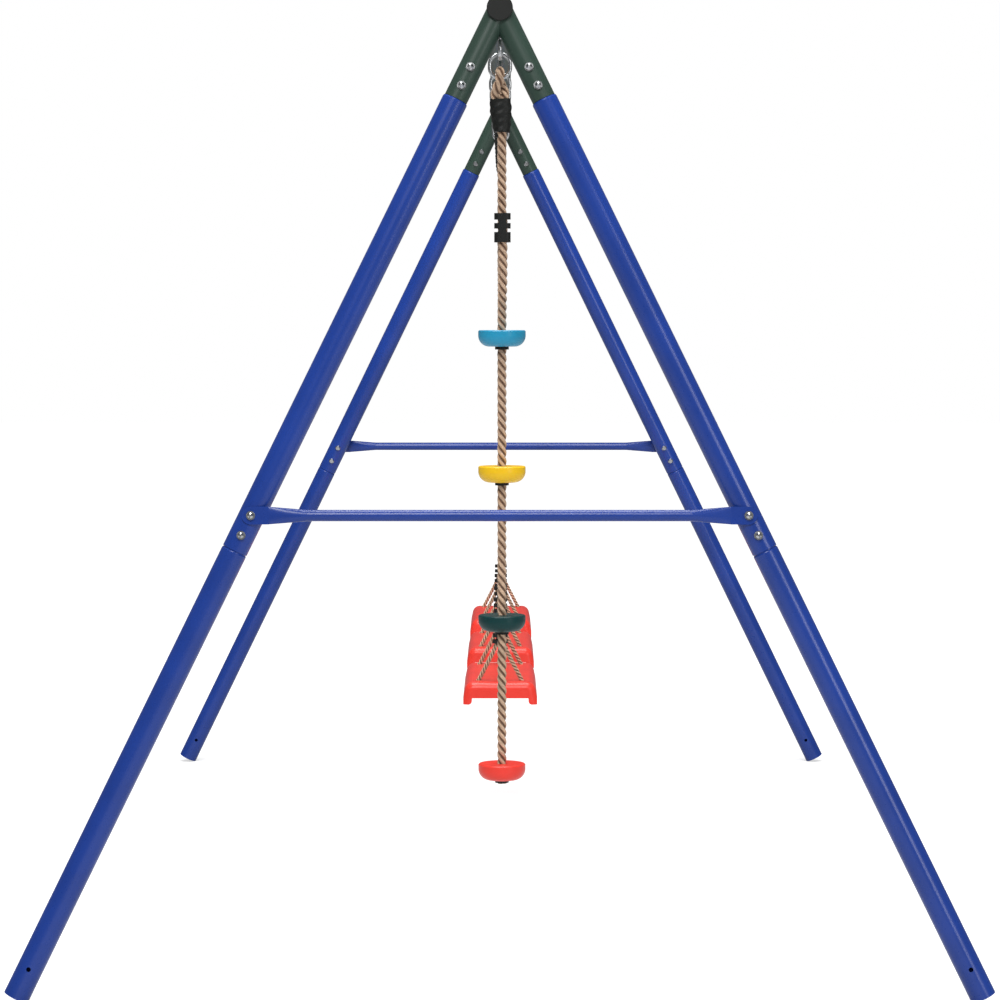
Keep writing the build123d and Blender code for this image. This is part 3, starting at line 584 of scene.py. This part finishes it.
# ---------------------------------------------------------------- sleeves over the ropes' eyes
def sleeve_rings(skin, place):
    """Rings from a sleeve's top to its foot: wide over two ropes, then round over one."""
    rows, around = 40, 56
    bulge_share, wave_share = 0.05, 0.018
    lip, lump_size, crease_size, slant = 0.5 * MM, 0.75 * MM, 0.3 * MM, 1.6 * MM
    rings = []
    for row in range(rows + 1):
        share = row / rows
        middle = math.sin(math.pi * share)
        centre_x = place["top_x"] + (place["foot_x"] - place["top_x"]) * share
        bulge = 1 + bulge_share * middle + wave_share * math.sin(9 * share + place["y"])
        squeeze = share ** 2.2
        wide = (place["half_w"] * (1 - squeeze) + place["foot_r"] * squeeze) * bulge
        thick = (place["half_t"] * (1 - squeeze) + place["foot_r"] * squeeze) * bulge
        edge = lip * (math.exp(-share * 26) + math.exp((share - 1) * 26))
        twist = 2 * math.pi * share * place["length"] / place["lay"]
        ring = []
        for corner in range(around):
            angle = 2 * math.pi * corner / around
            lump = lump_size * math.cos(STRANDS * (angle + twist)) * middle ** 0.5
            crease = crease_size * math.sin(11 * angle + 14 * share + place["y"]) * share
            grow = lump + crease + edge
            slope = slant * math.cos(angle - 0.7) * (1 - 2 * share)
            ring.append(skin.verts.new((
                centre_x + (wide + grow) * math.cos(angle),
                place["y"] + (thick + grow) * math.sin(angle),
                place["top_z"] - place["length"] * share
                + slope * (1 - abs(1 - 2 * share) ** 8 * 0.2),
            )))
        rings.append(ring)
    return rings


def shrink_sleeve(name, nodes_replaced, body, places):
    """Tight skins, lumpy where strands press through, lipped and slanted at both ends."""
    skin = bmesh.new()
    for place in places:
        rings = sleeve_rings(skin, place)
        for ring, following in zip(rings, rings[1:]):
            ahead = zip(ring, ring[1:] + ring[:1], following[1:] + following[:1], following)
            for corners in ahead:
                skin.faces.new(corners).smooth = True
        for ring in (rings[0], rings[-1]):
            skin.faces.new(ring)
    bmesh.ops.recalc_face_normals(skin, faces=skin.faces)
    mesh = bpy.data.meshes.new(name)
    skin.to_mesh(mesh)
    skin.free()
    mesh.materials.append(black_plastic)
    made = add_object(name, mesh)
    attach(made, body)
    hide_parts(*nodes_replaced)


low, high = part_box("climb_sleeve")
climb_place = {
    "top_x": 0.5 * MM,
    "foot_x": CLIMB_X,
    "y": CLIMB_Y,
    "top_z": high.z,
    "length": high.z - low.z,
    "half_w": 21.0 * MM,
    "half_t": 12.2 * MM,
    "foot_r": 15.5 * MM,
    "lay": CLIMB_LAY,
}
shrink_sleeve("climb_sleeve_skin", ["climb_sleeve"], "climbing_rope", [climb_place])
for number in SWINGS:
    low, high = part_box(f"swing_{number}_sleeves")
    places = []
    for where in ("near", "far"):
        rope_low, rope_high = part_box(f"swing_{number}_{where}_rope")
        places.append({
            "top_x": 0.0,
            "foot_x": 0.0,
            "y": (rope_low.y + rope_high.y) / 2,
            "top_z": high.z,
            "length": high.z - low.z,
            "half_w": 14.0 * MM,
            "half_t": 8.4 * MM,
            "foot_r": 8.8 * MM,
            "lay": SWING_LAY,
        })
    shrink_sleeve(
        f"swing_{number}_sleeve_skins", [f"swing_{number}_sleeves"], f"swing_{number}", places
    )


# ---------------------------------------------------------------- floor, lights and camera
def pale_floor():
    """A matt floor that fades to white away from the swing set."""
    half, below_feet = 30.0, 0.5 * MM
    fade_from, fade_to = 1.6, 4.5
    near_glow, far_glow = 0.56, 0.86
    mesh = bpy.data.meshes.new("floor")
    corners = [(-half, -half, 0), (half, -half, 0), (half, half, 0), (-half, half, 0)]
    mesh.from_pydata(corners, [], [(0, 1, 2, 3)])
    floor = add_object("floor", mesh)
    floor.location.z = -below_feet
    material, tree, shader = new_material("pale_floor")
    shader.inputs["Base Color"].default_value = (0.62, 0.62, 0.62, 1)
    shader.inputs["Roughness"].default_value = 0.95
    shader.inputs["Specular IOR Level"].default_value = 0.0
    shader.inputs["Emission Color"].default_value = (1, 1, 1, 1)
    distance = add_node(tree, "ShaderNodeVectorMath", operation="LENGTH")
    tree.links.new(object_coords(tree), distance.inputs[0])
    fade = add_node(tree, "ShaderNodeMapRange", interpolation_type="SMOOTHSTEP")
    fade.inputs["From Min"].default_value = fade_from
    fade.inputs["From Max"].default_value = fade_to
    fade.inputs["To Min"].default_value = near_glow
    fade.inputs["To Max"].default_value = far_glow
    tree.links.new(distance.outputs["Value"], fade.inputs["Value"])
    seen = add_node(tree, "ShaderNodeLightPath").outputs["Is Camera Ray"]
    glow = calc(tree, "MULTIPLY", seen, fade.outputs["Result"])
    tree.links.new(glow, shader.inputs["Emission Strength"])
    mesh.materials.append(material)


def white_world():
    """White where it is seen, and much dimmer where it lights the set or shows in its gloss."""
    diffuse_level, gloss_level = 0.34, 0.16
    world = bpy.data.worlds.new("studio")
    bpy.context.scene.world = world
    world.use_nodes = True
    tree = world.node_tree
    background = tree.nodes["Background"]
    background.inputs["Color"].default_value = (1, 1, 1, 1)
    path = add_node(tree, "ShaderNodeLightPath")
    lit = spread(tree, path.outputs["Is Glossy Ray"], diffuse_level, gloss_level)
    strength = calc(tree, "MAXIMUM", path.outputs["Is Camera Ray"], lit)
    tree.links.new(strength, background.inputs["Strength"])


def softbox(name, place, target, size, watts):
    light = bpy.data.lights.new(name, "AREA")
    light.shape = "RECTANGLE"
    light.size, light.size_y = size
    light.energy = watts
    holder = add_object(name, light)
    holder.location = place
    holder.rotation_euler = (Vector(target) - Vector(place)).to_track_quat("-Z", "Y").to_euler()


def camera():
    data = bpy.data.cameras.new("camera")
    data.sensor_width = 36.0
    data.lens = 109.8
    data.clip_end = 100.0
    holder = add_object("camera", data)
    holder.location = (0.007, -7.337, 1.3063)
    holder.rotation_euler = (math.radians(90 - 3.44), 0, math.radians(0.064))
    bpy.context.scene.camera = holder


pale_floor()
white_world()
softbox("front_softbox", (-0.8, -7.2, 5.6), (0, 0, 1.0), size=(3.0, 2.0), watts=300)
softbox("right_softbox", (4.4, -6.4, 2.4), (0, 0, 1.0), size=(1.4, 3.4), watts=90)
softbox("top_softbox", (0.0, -0.5, 5.2), (0, 0, 0.5), size=(3.0, 4.0), watts=260)
camera()
bpy.context.scene.view_settings.view_transform = "Standard"
